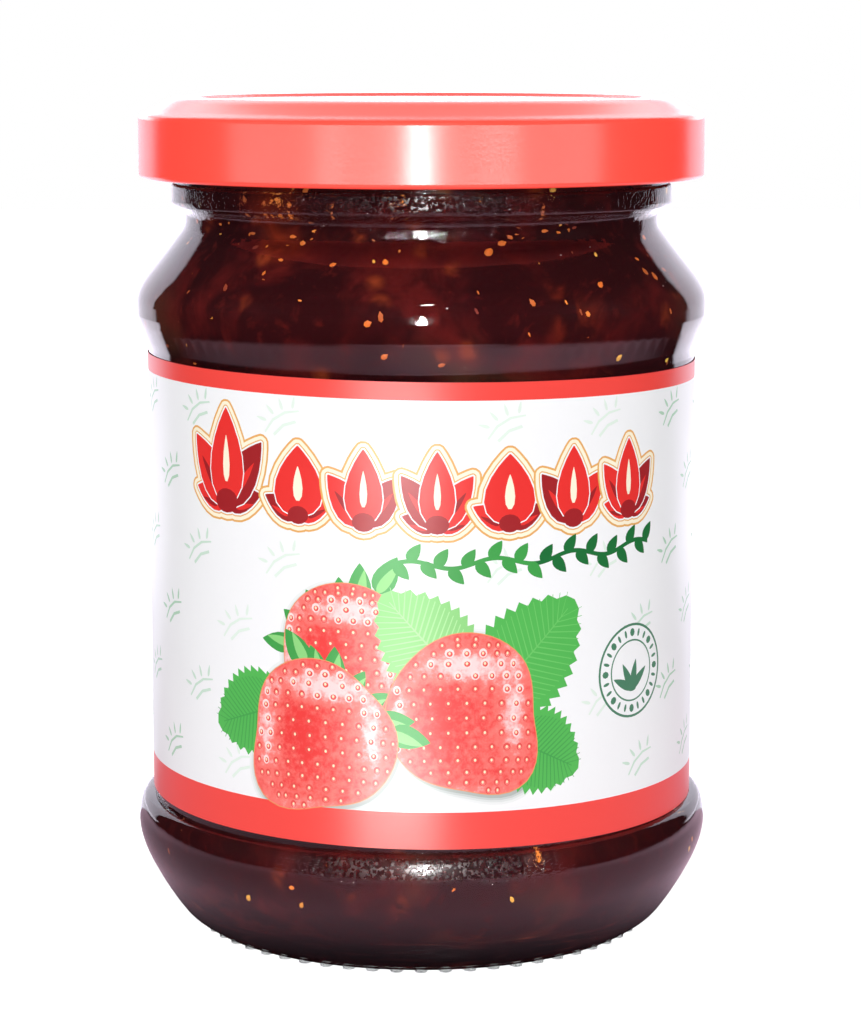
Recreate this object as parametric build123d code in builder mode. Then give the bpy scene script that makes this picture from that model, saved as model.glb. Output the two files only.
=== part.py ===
"""A closed jar of jam: glass jar, jam filling, pressed twist-off lid and paper label.

Millimetres, +Z up. The origin is the middle of the resting ring, on the surface the jar stands on.
The label faces -Y.
"""
import math
import os

from build123d import *

os.makedirs("parts", exist_ok=True)

# ---- heights up the jar ----
glass_height = 102.4        # resting face to the sealing rim
bulge_z = 12.4              # fullest height of the foot
panel_low_z = 16.1          # foot of the straight wall under the label
panel_high_z = 71.3         # top of the straight wall under the label
shoulder_low_z = 76.3       # the shoulder starts here
shoulder_high_z = 77.8      # and turns inward here
neck_z = 88.2               # narrowest height of the neck
bead_low_z = 89.85          # underside of the ring below the lid
bead_high_z = 92.3          # top of the ring below the lid

# ---- outer radii ----
ring_r = 27.5               # middle of the resting ring
bulge_r = 35.8              # foot
panel_r = 33.85             # wall under the label
shoulder_r = 35.15          # shoulder
neck_r = 29.1               # neck
bead_r = 30.85              # ring below the lid
finish_r = 31.0             # mouth, inside the lid
mouth_bore_r = 27.6         # bore of the mouth

# ---- glass thickness and foot ----
wall = 2.3                  # side wall
base_thickness = 3.2        # glass under the jam
push_up = 2.0               # rise of the hollow under the base
ring_half_width = 1.5       # half the width of the resting ring
foot_edge = 1.2             # how far the heel starts outside the ring
rim_round = 1.35            # rounding of both edges of the mouth

# ---- bearing bars on the resting ring ----
bar_count = 60
bar_height = 0.45
bar_width = 1.5
bar_length = 2.4

# ---- lid ----
thread_room = 3.45          # space between the mouth and the inside of the skirt
sheet = 0.3                 # pressed sheet
skirt_drop = 9.45           # sealing face down to the lower edge of the skirt
curl_d = 1.1                # rolled lower edge
shoulder_drop = 2.3         # sealing face down to the top of the straight skirt
corner_run = 1.0            # inward run of the rounded corner of the skirt
corner_rise = 0.85          # rise of that corner
ridge_inset = 0.75          # the flat ridge stops this far inside both faces of the mouth
ridge_slope = 1.1           # run of the outer shoulder of the ridge before it flattens
panel_sink = 0.4            # depth of the middle panel below the ridge
panel_slope = 0.8           # run of the slope down to the panel

# ---- jam ----
headspace = 5.9             # sealing face down to the jam

# ---- label ----
label_low_z = 16.6          # lower edge at the front
label_high_z = 71.2         # upper edge at the front
label_tilt = 0.8            # degrees, the +X side lower
paper = 0.1
glue_gap = 0.02
overlap_width = 9.0         # second layer of paper at the back

# ---- worked out from the above ----
inner_panel_r = panel_r - wall
inner_shoulder_r = shoulder_r - wall - 0.3
inner_neck_r = neck_r - wall
floor_z = push_up + base_thickness
jam_z = glass_height - headspace
lid_r = finish_r + thread_room + sheet


# ---- jar ----
with BuildPart() as glass_jar:
    with BuildSketch(Plane.XZ):
        with BuildLine():
            # underside, from the axis out over the hollow to the resting ring
            base_in = ring_r - ring_half_width
            base_out = ring_r + ring_half_width
            ThreePointArc((0, push_up), (base_in * 0.55, push_up * 0.78), (base_in - 1.2, bar_height + 0.3))
            ThreePointArc(
                (base_in - 1.2, bar_height + 0.3),
                (ring_r - 0.9, bar_height * 0.6),
                (ring_r, bar_height * 0.5),
            )
            ThreePointArc(
                (ring_r, bar_height * 0.5),
                (ring_r + 0.9, bar_height * 0.6),
                (base_out + 0.2, bar_height + 0.35),
            )
            # heel, bulge and the step in to the wall under the label
            Spline(
                (base_out + 0.2, bar_height + 0.35),
                (base_out + foot_edge + 1.2, 2.9),
                (bulge_r - 1.75, 7.2),
                (bulge_r, bulge_z),
                (bulge_r - 0.24, 14.6),
                (panel_r + 1.3, 15.55),
                (panel_r, panel_low_z),
                tangents=((1, 0.45), (-1, 0.12)),
            )
            Line((panel_r, panel_low_z), (panel_r, panel_high_z))
            Spline((panel_r, panel_high_z), (shoulder_r, shoulder_low_z), tangents=((0, 1), (0, 1)))
            Line((shoulder_r, shoulder_low_z), (shoulder_r, shoulder_high_z))
            Spline(
                (shoulder_r, shoulder_high_z),
                (shoulder_r - 0.43, shoulder_high_z + 1.7),
                ((shoulder_r + neck_r) / 2 - 0.1, (shoulder_high_z + neck_z) / 2 + 0.2),
                (neck_r + 0.5, neck_z - 1.8),
                (neck_r, neck_z),
                tangents=((0, 1), (0, 1)),
            )
            # the ring below the lid and the mouth
            Spline(
                (neck_r, neck_z),
                ((neck_r + bead_r) / 2, (neck_z + bead_low_z) / 2 + 0.25),
                (bead_r, bead_low_z + 0.35),
                tangents=((0, 1), (0, 1)),
            )
            Line((bead_r, bead_low_z + 0.35), (bead_r, bead_high_z - 0.4))
            ThreePointArc(
                (bead_r, bead_high_z - 0.4),
                (bead_r - 0.12, bead_high_z - 0.12),
                (bead_r - 0.4, bead_high_z),
            )
            Line((bead_r - 0.4, bead_high_z), (bead_r - 0.5, bead_high_z + 0.9))
            Line((bead_r - 0.5, bead_high_z + 0.9), (finish_r, bead_high_z + 1.9))
            Line((finish_r, bead_high_z + 1.9), (finish_r, glass_height - rim_round))
            ThreePointArc(
                (finish_r, glass_height - rim_round),
                (finish_r - rim_round * 0.293, glass_height - rim_round * 0.293),
                (finish_r - rim_round, glass_height),
            )
            Line((finish_r - rim_round, glass_height), (mouth_bore_r + rim_round, glass_height))
            ThreePointArc(
                (mouth_bore_r + rim_round, glass_height),
                (mouth_bore_r + rim_round * 0.293, glass_height - rim_round * 0.293),
                (mouth_bore_r, glass_height - rim_round),
            )
            # inside, down to the floor
            Line((mouth_bore_r, glass_height - rim_round), (mouth_bore_r, bead_high_z))
            Spline(
                (mouth_bore_r, bead_high_z),
                (inner_neck_r, neck_z),
                tangents=((0, -1), (0, -1)),
            )
            Spline(
                (inner_neck_r, neck_z),
                (inner_shoulder_r, shoulder_high_z - 0.3),
                tangents=((0, -1), (0, -1)),
            )
            Line((inner_shoulder_r, shoulder_high_z - 0.3), (inner_shoulder_r, shoulder_low_z))
            Spline(
                (inner_shoulder_r, shoulder_low_z),
                (inner_panel_r, panel_high_z - 1.0),
                tangents=((0, -1), (0, -1)),
            )
            Line((inner_panel_r, panel_high_z - 1.0), (inner_panel_r, panel_low_z - 1.0))
            Spline(
                (inner_panel_r, panel_low_z - 1.0),
                (inner_panel_r - 1.6, floor_z + 2.0),
                (inner_panel_r - 8.0, floor_z),
                tangents=((0, -1), (-1, 0)),
            )
            Line((inner_panel_r - 8.0, floor_z), (0, floor_z))
            Line((0, floor_z), (0, push_up))
        make_face()
    revolve(axis=Axis.Z)
    # bearing bars round the resting ring; their feet are the flat the jar stands on
    with BuildSketch():
        with PolarLocations(ring_r, bar_count):
            SlotOverall(bar_length, bar_width)
    extrude(amount=bar_height + 0.5)

# ---- jam ----
with BuildPart() as jam_filling:
    with BuildSketch(Plane.XZ):
        with BuildLine():
            Line((0, floor_z), (inner_panel_r - 8.0, floor_z))
            Spline(
                (inner_panel_r - 8.0, floor_z),
                (inner_panel_r - 1.6, floor_z + 2.0),
                (inner_panel_r, panel_low_z - 1.0),
                tangents=((1, 0), (0, 1)),
            )
            Line((inner_panel_r, panel_low_z - 1.0), (inner_panel_r, panel_high_z - 1.0))
            Spline(
                (inner_panel_r, panel_high_z - 1.0),
                (inner_shoulder_r, shoulder_low_z),
                tangents=((0, 1), (0, 1)),
            )
            Line((inner_shoulder_r, shoulder_low_z), (inner_shoulder_r, shoulder_high_z - 0.3))
            Spline(
                (inner_shoulder_r, shoulder_high_z - 0.3),
                (inner_neck_r, neck_z),
                tangents=((0, 1), (0, 1)),
            )
            Spline((inner_neck_r, neck_z), (mouth_bore_r, bead_high_z), tangents=((0, 1), (0, 1)))
            Line((mouth_bore_r, bead_high_z), (mouth_bore_r, jam_z))
            Line((mouth_bore_r, jam_z), (0, jam_z))
            Line((0, jam_z), (0, floor_z))
        make_face()
    revolve(axis=Axis.Z)

# ---- lid: outer line of the pressing, then the same line one sheet inside ----
skirt_low_z = glass_height - skirt_drop
curl_z = skirt_low_z + curl_d / 2
skirt_top_z = glass_height - shoulder_drop
corner_z = skirt_top_z + corner_rise
ridge_z = glass_height + sheet
ridge_out = finish_r - ridge_inset
ridge_in = mouth_bore_r + ridge_inset
panel_edge_r = ridge_in - panel_slope
lid_panel_z = ridge_z - panel_sink

with BuildPart() as lid:
    with BuildSketch(Plane.XZ):
        with BuildLine():
            Line((lid_r, curl_z), (lid_r, skirt_top_z))
            Spline(
                (lid_r, skirt_top_z),
                (lid_r - corner_run, corner_z),
                tangents=((0, 1), (-1, 0.42)),
            )
            Spline(
                (lid_r - corner_run, corner_z),
                (ridge_out + ridge_slope, ridge_z - 0.32),
                (ridge_out, ridge_z),
                tangents=((-1, 0.42), (-1, 0)),
            )
            Line((ridge_out, ridge_z), (ridge_in, ridge_z))
            Spline((ridge_in, ridge_z), (panel_edge_r, lid_panel_z), tangents=((-1, 0), (-1, 0)))
            Line((panel_edge_r, lid_panel_z), (0, lid_panel_z))
            Line((0, lid_panel_z), (0, lid_panel_z - sheet))
            Line((0, lid_panel_z - sheet), (panel_edge_r, lid_panel_z - sheet))
            Spline(
                (panel_edge_r, lid_panel_z - sheet),
                (ridge_in, ridge_z - sheet),
                tangents=((1, 0), (1, 0)),
            )
            Line((ridge_in, ridge_z - sheet), (ridge_out, ridge_z - sheet))
            Spline(
                (ridge_out, ridge_z - sheet),
                (ridge_out + ridge_slope - 0.1, ridge_z - 0.32 - sheet),
                (lid_r - corner_run - 0.12, corner_z - sheet),
                tangents=((1, 0), (1, -0.42)),
            )
            Spline(
                (lid_r - corner_run - 0.12, corner_z - sheet),
                (lid_r - sheet, skirt_top_z - 0.1),
                tangents=((1, -0.42), (0, -1)),
            )
            Line((lid_r - sheet, skirt_top_z - 0.1), (lid_r - sheet, curl_z))
            Line((lid_r - sheet, curl_z), (lid_r, curl_z))
        make_face()
        with Locations((lid_r - curl_d / 2, curl_z)):
            Circle(curl_d / 2)
    revolve(axis=Axis.Z)

# ---- label: a paper sleeve with slanted edges, lapped at the back ----
label_in = panel_r + glue_gap
slant = math.tan(math.radians(label_tilt))
label_reach = label_in + 2 * paper
with BuildPart() as label:
    with BuildSketch(Plane.XY.offset(label_low_z - 2)):
        Circle(label_in + paper)
        Circle(label_in, mode=Mode.SUBTRACT)
    extrude(amount=label_high_z - label_low_z + 4)
    # the lapped end of the strip, behind
    with BuildSketch(Plane.XY.offset(label_low_z - 2)):
        Circle(label_in + 2 * paper)
        Circle(label_in + paper, mode=Mode.SUBTRACT)
        with Locations((0, label_in)):
            Rectangle(overlap_width, 8, mode=Mode.INTERSECT)
    extrude(amount=label_high_z - label_low_z + 4)
    # both edges are cut on the slant
    with BuildSketch(Plane.XZ):
        Polygon(
            (-label_reach - 5, label_low_z + slant * (label_reach + 5)),
            (label_reach + 5, label_low_z - slant * (label_reach + 5)),
            (label_reach + 5, label_high_z - slant * (label_reach + 5)),
            (-label_reach - 5, label_high_z + slant * (label_reach + 5)),
            align=None,
        )
    extrude(amount=label_reach + 5, both=True, mode=Mode.INTERSECT)

glass_jar.part.label = "glass_jar"
jam_filling.part.label = "jam_filling"
lid.part.label = "lid"
label.part.label = "label"
export_step(glass_jar.part, "parts/glass_jar.step")
export_step(jam_filling.part, "parts/jam_filling.step")
export_step(lid.part, "parts/lid.step")
export_step(label.part, "parts/label.step")

for piece, density in ((glass_jar, 2.5), (jam_filling, 1.33), (lid, 7.8), (label, 0.8)):
    box = piece.part.bounding_box()
    print(
        piece.part.label,
        "valid", piece.part.is_valid,
        "solids", len(piece.part.solids()),
        "grams", round(piece.part.volume * density / 1000, 1),
        "z", round(box.min.Z, 2), round(box.max.Z, 2),
        "x", round(box.min.X, 2), round(box.max.X, 2),
    )
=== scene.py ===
"""Looks of a closed jar of strawberry jam: lacquered lid, clear glass, jam with seeds, printed paper label.

Metres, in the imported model's frame. The label's print is laid out on the flat strip in millimetres:
s runs round the jar from the middle of the front, t runs up from the strip's lower edge.
"""
import math
import random

import bpy
import numpy as np
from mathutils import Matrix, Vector
from mathutils.geometry import delaunay_2d_cdt


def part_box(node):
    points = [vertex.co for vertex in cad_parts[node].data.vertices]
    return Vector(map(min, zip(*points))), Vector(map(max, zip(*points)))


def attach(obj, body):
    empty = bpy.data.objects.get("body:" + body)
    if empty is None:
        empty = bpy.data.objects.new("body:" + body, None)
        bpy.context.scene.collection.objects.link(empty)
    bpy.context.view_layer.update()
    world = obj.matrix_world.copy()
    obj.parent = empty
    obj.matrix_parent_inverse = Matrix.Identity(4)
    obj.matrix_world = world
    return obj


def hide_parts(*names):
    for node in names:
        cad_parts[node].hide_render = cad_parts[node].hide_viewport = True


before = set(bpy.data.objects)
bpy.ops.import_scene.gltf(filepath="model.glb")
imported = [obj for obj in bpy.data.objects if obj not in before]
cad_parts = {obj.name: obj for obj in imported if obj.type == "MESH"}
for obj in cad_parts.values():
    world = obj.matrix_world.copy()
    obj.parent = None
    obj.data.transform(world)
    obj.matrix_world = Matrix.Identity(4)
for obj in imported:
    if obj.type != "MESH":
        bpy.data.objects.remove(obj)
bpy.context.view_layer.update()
random.seed(66)

MM = 0.001
jam_low, jam_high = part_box("jam_filling")
glass_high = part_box("glass_jar")[1]
label_low, label_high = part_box("label")


def tint(red, green, blue):
    """A screen colour, 0 to 255, as the linear colour that shaders take."""
    return tuple(
        (c / 255 / 12.92) if c / 255 <= 0.04045 else ((c / 255 + 0.055) / 1.055) ** 2.4
        for c in (red, green, blue)
    ) + (1.0,)


# ---------------------------------------------------------------- shader building

class Graph:
    """A short way to write node graphs."""

    def __init__(self, tree):
        self.tree = tree
        self.nodes = tree.nodes

    def add(self, kind, settings=None, **inputs):
        node = self.nodes.new(kind)
        for key, value in (settings or {}).items():
            setattr(node, key, value)
        for key, value in inputs.items():
            self.put(node, key.replace("_", " "), value)
        return node

    def put(self, node, socket, value):
        target = node.inputs[int(socket)] if socket.isdigit() else node.inputs[socket]
        if isinstance(value, bpy.types.NodeSocket):
            self.tree.links.new(value, target)
        else:
            target.default_value = value

    def math(self, operation, a, b=0.0, clamp=False):
        node = self.nodes.new("ShaderNodeMath")
        node.operation = operation
        node.use_clamp = clamp
        self.put(node, "0", a)
        self.put(node, "1", b)
        return node.outputs[0]

    def product(self, *factors):
        result = factors[0]
        for factor in factors[1:]:
            result = self.math("MULTIPLY", result, factor)
        return result

    def blend(self, factor, a, b):
        node = self.nodes.new("ShaderNodeMix")
        node.data_type = "RGBA"
        self.put(node, "0", factor)
        self.put(node, "6", a)
        self.put(node, "7", b)
        return node.outputs[2]

    def span(self, value, low, high, to_low=0.0, to_high=1.0):
        node = self.nodes.new("ShaderNodeMapRange")
        node.interpolation_type = "SMOOTHSTEP"
        for k, v in enumerate((value, low, high, to_low, to_high)):
            self.put(node, str(k), v)
        return node.outputs[0]

    def noise(self, where, scale, detail=3.0, roughness=0.5):
        node = self.nodes.new("ShaderNodeTexNoise")
        self.put(node, "Vector", where)
        self.put(node, "Scale", scale)
        self.put(node, "Detail", detail)
        self.put(node, "Roughness", roughness)
        return node.outputs["Fac"]


def new_group(name, inputs, outputs):
    """An empty shader node group; inputs are (name, kind, default), outputs (name, kind)."""
    tree = bpy.data.node_groups.new(name, "ShaderNodeTree")
    for label, kind, default in inputs:
        socket = tree.interface.new_socket(label, in_out="INPUT", socket_type=kind)
        socket.default_value = default
    for label, kind in outputs:
        tree.interface.new_socket(label, in_out="OUTPUT", socket_type=kind)
    graph = Graph(tree)
    return tree, graph, graph.add("NodeGroupInput"), graph.add("NodeGroupOutput")


def surface_wear_group():
    """Fine unevenness of any handled surface: a soft value for colour, roughness and height."""
    tree, g, given, out = new_group(
        "fine_unevenness",
        [
            ("Scale", "NodeSocketFloat", 200.0),
            ("Colour", "NodeSocketColor", (1, 1, 1, 1)),
            ("Colour Change", "NodeSocketFloat", 0.1),
            ("Roughness", "NodeSocketFloat", 0.3),
            ("Roughness Change", "NodeSocketFloat", 0.1),
        ],
        [("Colour", "NodeSocketColor"), ("Roughness", "NodeSocketFloat"), ("Height", "NodeSocketFloat")],
    )
    where = g.add("ShaderNodeTexCoord").outputs["Object"]
    scale = given.outputs["Scale"]
    broad = g.noise(where, g.math("MULTIPLY", scale, 0.25), 2.0)
    fine = g.noise(where, g.math("MULTIPLY", scale, 4.0), 4.0, 0.6)
    both = g.math("ADD", g.math("MULTIPLY", broad, 0.6), g.math("MULTIPLY", fine, 0.4))
    swing = g.math("SUBTRACT", both, 0.5)
    level = g.math("MULTIPLY_ADD", swing, given.outputs["Colour Change"])
    level.node.inputs[2].default_value = 1.0
    shade = g.add("ShaderNodeVectorMath", {"operation": "SCALE"})
    g.put(shade, "0", given.outputs["Colour"])
    g.put(shade, "Scale", level)
    rough = g.math("MULTIPLY_ADD", swing, given.outputs["Roughness Change"])
    g.put(rough.node, "2", given.outputs["Roughness"])
    g.put(out, "Colour", shade.outputs[0])
    g.put(out, "Roughness", rough)
    g.put(out, "Height", both)
    return tree


FINE_UNEVENNESS = surface_wear_group()


def new_material(name):
    """A material with its node graph and its main shader."""
    material = bpy.data.materials.new(name)
    material.use_nodes = True
    graph = Graph(material.node_tree)
    shader = graph.nodes["Principled BSDF"]
    return material, graph, shader


def wear(graph, colour, scale, colour_change, roughness, roughness_change):
    """The fine unevenness, placed in a material with its own values."""
    node = graph.add("ShaderNodeGroup", {"node_tree": FINE_UNEVENNESS})
    graph.put(node, "Scale", scale)
    graph.put(node, "Colour", colour)
    graph.put(node, "Colour Change", colour_change)
    graph.put(node, "Roughness", roughness)
    graph.put(node, "Roughness Change", roughness_change)
    return node


def bump(graph, height, distance, strength=1.0, under=None):
    """The normal of a bumped surface, on top of another bump's normal when one is given."""
    node = graph.add("ShaderNodeBump", Strength=strength, Distance=distance)
    graph.put(node, "Height", height)
    if under is not None:
        graph.put(node, "Normal", under)
    return node.outputs["Normal"]


def feed(graph, shader, worn, depth, strength):
    """Gives the shader the colour, roughness and bump of a wear node."""
    graph.put(shader, "Base Color", worn.outputs["Colour"])
    graph.put(shader, "Roughness", worn.outputs["Roughness"])
    graph.put(shader, "Normal", bump(graph, worn.outputs["Height"], depth, strength))


# ---------------------------------------------------------------- materials

# heights on the glass: the ring below the lid, and the grained band of the foot
BEAD_LOW = glass_high.z - 12.7 * MM
BEAD_HIGH = glass_high.z - 9.9 * MM
FOOT_GRAIN_LOW = 14 * MM
FOOT_GRAIN_HIGH = 15.4 * MM
# half the width of the strongly grained front
FRONT_HALF = 8 * MM
GRAIN_SCALE = 2300.0


def glass_grain(g, where):
    """Masks of the glass's fine grain, as (dots, dull).

    It is strong over the middle of the front, fainter round the rest of the neck and its ring, and it
    leaves the sides of the foot smooth.
    """
    across, deep, height = g.add("ShaderNodeSeparateXYZ", Vector=where).outputs
    front = g.product(
        g.span(g.math("ABSOLUTE", across), FRONT_HALF + 12 * MM, FRONT_HALF),
        g.span(deep, 0, -20 * MM),
    )
    on_bead = g.product(
        g.span(height, BEAD_LOW, BEAD_LOW + 0.6 * MM),
        g.span(height, BEAD_HIGH, BEAD_HIGH - 0.3 * MM),
    )
    on_neck = g.product(g.span(height, BEAD_LOW - 4 * MM, BEAD_LOW), 0.3)
    on_foot = g.product(
        g.span(height, FOOT_GRAIN_HIGH + MM, FOOT_GRAIN_HIGH),
        g.span(height, FOOT_GRAIN_LOW - 2 * MM, FOOT_GRAIN_LOW),
        front,
    )
    above = g.product(g.math("MAXIMUM", on_bead, on_neck), g.span(front, 0.0, 1.0, 0.2, 1.0))
    grain = g.span(g.noise(where, GRAIN_SCALE, 1.0, 0.5), 0.46, 0.58)
    dots = g.product(grain, g.math("MAXIMUM", above, on_foot))
    return dots, g.product(on_foot, 0.1)


def glass_material():
    """Pressed glass: clear, faintly wavy and grained in places; lamplight passes straight through it."""
    material, g, shader = new_material("clear_glass")
    where = g.add("ShaderNodeTexCoord").outputs["Object"]
    dots, dull = glass_grain(g, where)
    waves = g.noise(where, 60.0, 2.0)
    wavy = bump(g, waves, 0.35 * MM, 0.3)
    smooth = g.span(waves, 0.3, 0.7, 0.03, 0.07)
    g.put(shader, "Base Color", (0.97, 0.98, 0.98, 1))
    g.put(shader, "Roughness", g.math("ADD", g.math("ADD", smooth, dull), g.product(dots, 0.18)))
    g.put(shader, "Transmission Weight", 1.0)
    g.put(shader, "IOR", 1.5)
    g.put(shader, "Normal", bump(g, dots, 0.1 * MM, under=wavy))
    lamp_rays = g.add("ShaderNodeLightPath").outputs["Is Shadow Ray"]
    clear = g.add("ShaderNodeBsdfTransparent", Color=(0.93, 0.94, 0.95, 1))
    mix = g.add("ShaderNodeMixShader")
    g.put(mix, "0", lamp_rays)
    g.put(mix, "1", shader.outputs[0])
    g.put(mix, "2", clear.outputs[0])
    g.put(g.nodes["Material Output"], "Surface", mix.outputs[0])
    return material


def lid_material():
    """Red lacquer baked on sheet steel."""
    material, g, shader = new_material("red_lacquer")
    feed(g, shader, wear(g, tint(250, 71, 58), 300.0, 0.08, 0.23, 0.12), 0.02 * MM, 0.4)
    g.put(shader, "Specular IOR Level", 0.6)
    return material


def seed_glow(g, where, fruit, colour):
    """A painted glow in the jam: its colour, warmer round the first three groups of seeds."""
    for angle, z, _, _, _ in CLUSTERS[:3]:
        radius = jam_radius(z * MM)
        reach = g.add("ShaderNodeVectorMath", {"operation": "DISTANCE"})
        g.put(reach, "0", where)
        g.put(reach, "1", (math.sin(angle) * radius, -math.cos(angle) * radius, z * MM))
        # painted glow round each group of seeds
        glow = g.product(
            g.span(reach.outputs["Value"], 5 * MM, 0.5 * MM),
            g.span(fruit, 0.42, 0.62),
            0.6,
        )
        colour = g.blend(glow, colour, tint(124, 40, 16))
    return colour


BULGE_HEIGHT = 79 * MM


def browner_sides(g, where, brown, colour):
    """The jam's colour, browner in patches at the sides of the bulge above the label."""
    across, _, height = g.add("ShaderNodeSeparateXYZ", Vector=where).outputs
    patch = g.product(
        g.span(g.math("ABSOLUTE", across), 27 * MM, 32 * MM),
        g.span(g.math("ABSOLUTE", g.math("SUBTRACT", height, BULGE_HEIGHT)), 6 * MM, 2 * MM),
        g.span(brown, 0.35, 0.65, 0.1, 0.6),
    )
    return g.blend(patch, colour, tint(64, 46, 32))


def jam_material():
    """Dark strawberry jam against the glass: near black, with redder and browner fruit and warm specks."""
    material, g, shader = new_material("strawberry_jam")
    where = g.add("ShaderNodeTexCoord").outputs["Object"]
    warp = g.add("ShaderNodeTexNoise", Scale=90.0, Detail=2.0)
    g.put(warp, "Vector", where)
    bent = g.add("ShaderNodeVectorMath", {"operation": "MULTIPLY_ADD"})
    g.put(bent, "0", warp.outputs["Color"])
    g.put(bent, "1", (12 * MM, 12 * MM, 12 * MM))
    g.put(bent, "2", where)
    fruit = g.noise(bent.outputs[0], 80.0, 4.0, 0.62)
    brown = g.noise(bent.outputs[0], 42.0, 2.0)
    fine = g.noise(bent.outputs[0], 520.0, 3.0, 0.6)
    specks = g.add("ShaderNodeTexVoronoi", Scale=210.0, Randomness=1.0)
    g.put(specks, "Vector", where)
    colour = g.blend(g.span(fruit, 0.46, 0.7), tint(34, 7, 9), tint(66, 15, 14))
    colour = g.blend(g.span(brown, 0.6, 0.74, 0.0, 0.6), colour, tint(62, 40, 26))
    colour = g.blend(g.span(fine, 0.55, 0.8, 0.0, 0.45), colour, tint(86, 24, 18))
    warm = g.product(g.span(specks.outputs["Distance"], 0.34, 0.05), g.span(fruit, 0.5, 0.62), 0.6)
    colour = g.blend(warm, colour, tint(128, 52, 24))
    colour = browner_sides(g, where, brown, colour)
    colour = seed_glow(g, where, fruit, colour)
    g.put(shader, "Base Color", colour)
    g.put(shader, "Roughness", g.span(fine, 0.2, 0.8, 0.4, 0.6))
    g.put(shader, "Specular IOR Level", 0.0)
    g.put(shader, "Normal", bump(g, fruit, 0.3 * MM, 0.3))
    return material


def seed_material():
    """Strawberry seeds; the ones deeper in the jam are dimmer and redder."""
    material, g, shader = new_material("strawberry_seed")
    depth = g.add("ShaderNodeAttribute", {"attribute_name": "depth"}).outputs["Fac"]
    near = g.blend(g.span(depth, 0.0, 0.4), tint(226, 184, 74), tint(206, 104, 34))
    colour = g.blend(g.span(depth, 0.35, 1.0), near, tint(98, 26, 16))
    feed(g, shader, wear(g, colour, 900.0, 0.5, 0.35, 0.2), 0.05 * MM, 0.5)
    g.put(shader, "Specular IOR Level", 0.2)
    return material


def bubble_material():
    """Air bubbles against the glass."""
    material, g, shader = new_material("air_bubble")
    node = wear(g, tint(150, 128, 128), 900.0, 0.6, 0.2, 0.2)
    g.put(shader, "Base Color", node.outputs["Colour"])
    g.put(shader, "Roughness", node.outputs["Roughness"])
    return material


INKS = {
    "paper_white": tint(246, 246, 248),
    "ink_band_red": tint(246, 70, 62),
    "ink_gold": tint(232, 172, 92),
    "ink_cream": tint(255, 243, 218),
    "ink_red": tint(236, 44, 40),
    "ink_dark_red": tint(162, 26, 32),
    "ink_green": tint(60, 160, 72),
    "ink_dark_green": tint(18, 112, 52),
    "ink_sprig": tint(176, 212, 186),
    # sprig inks painted paler, as painted sheen over the front of the label
    "ink_sprig_painted_sheen_weak": tint(204, 227, 211),
    "ink_sprig_painted_sheen_strong": tint(227, 240, 230),
    "ink_leaf_green": tint(80, 184, 82),
    "ink_leaf_mid": tint(106, 198, 100),
    "ink_leaf_light": tint(140, 212, 126),
    "ink_leaf_pale": tint(176, 228, 158),
    "ink_seal_green": tint(66, 128, 96),
    "ink_shade_1": tint(236, 238, 238),
    "ink_shade_2": tint(222, 226, 225),
    "ink_shade_3": tint(202, 208, 206),
    "ink_shade_4": tint(176, 184, 180),
    "ink_berry_rim": tint(236, 150, 96),
    "ink_seed_light": tint(255, 228, 190),
    "ink_seed_pit": tint(232, 76, 70),
    "ink_seed_glint": tint(255, 222, 220),
}


def print_on_paper(g, shader, colour):
    """The finish of coated paper, printed with a colour."""
    feed(g, shader, wear(g, colour, 500.0, 0.05, 0.34, 0.1), 0.01 * MM, 0.5)


def ink_material(name, colour):
    """One printed colour, plain paper included."""
    material, g, shader = new_material(name)
    print_on_paper(g, shader, colour)
    return material


def berry_ink_material():
    """The printed berries: tone 0 is the full red, 1 the palest highlight."""
    material, g, shader = new_material("ink_berry")
    tone = g.add("ShaderNodeAttribute", {"attribute_name": "tone"}).outputs["Fac"]
    where = g.add("ShaderNodeTexCoord").outputs["Object"]
    grain = g.noise(where, 1100.0, 3.0, 0.7)
    tone = g.math("ADD", tone, g.math("MULTIPLY", g.math("SUBTRACT", grain, 0.5), 1.1))
    colour = g.blend(g.span(tone, 0.0, 0.55), tint(238, 52, 50), tint(250, 120, 112))
    colour = g.blend(g.span(tone, 0.5, 1.0), colour, tint(255, 214, 214))
    print_on_paper(g, shader, colour)
    return material


# ---------------------------------------------------------------- mesh helpers

def new_piece(name, points, faces, materials, slots=None):
    """A smooth-shaded mesh object; slots give each face's place in the materials."""
    mesh = bpy.data.meshes.new(name)
    mesh.from_pydata([tuple(p) for p in points], [], faces)
    for material in materials:
        mesh.materials.append(material)
    if slots is not None:
        mesh.polygons.foreach_set("material_index", slots)
    mesh.polygons.foreach_set("use_smooth", [True] * len(mesh.polygons))
    mesh.update()
    piece = bpy.data.objects.new(name, mesh)
    bpy.context.scene.collection.objects.link(piece)
    return piece


def add_values(piece, name, values):
    """Stores one number for each point of a piece, for its material to read."""
    layer = piece.data.attributes.new(name, "FLOAT", "POINT")
    layer.data.foreach_set("value", values)


def lathe(profile, steps):
    """Points and faces of a closed round body from (radius, height) pairs, first and last on the axis."""
    points = [(0.0, 0.0, profile[0][1])]
    for radius, height in profile[1:-1]:
        for k in range(steps):
            a = 2 * math.pi * k / steps
            points.append((radius * math.cos(a), radius * math.sin(a), height))
    points.append((0.0, 0.0, profile[-1][1]))
    rings = len(profile) - 2
    last = len(points) - 1
    faces = []
    for k in range(steps):
        n = (k + 1) % steps
        faces.append((0, 1 + n, 1 + k))
        faces.append((last, last - steps + k, last - steps + n))
        for ring in range(rings - 1):
            base = 1 + ring * steps
            faces.append((base + k, base + n, base + steps + n, base + steps + k))
    return points, faces


# ---------------------------------------------------------------- jam

# how far the jam's skin reaches into the wall
JAM_REACH = 0.12 * MM
# nearer the axis than this, the jam has only its floor and its level
FLAT_RADIUS = 20 * MM


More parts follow.
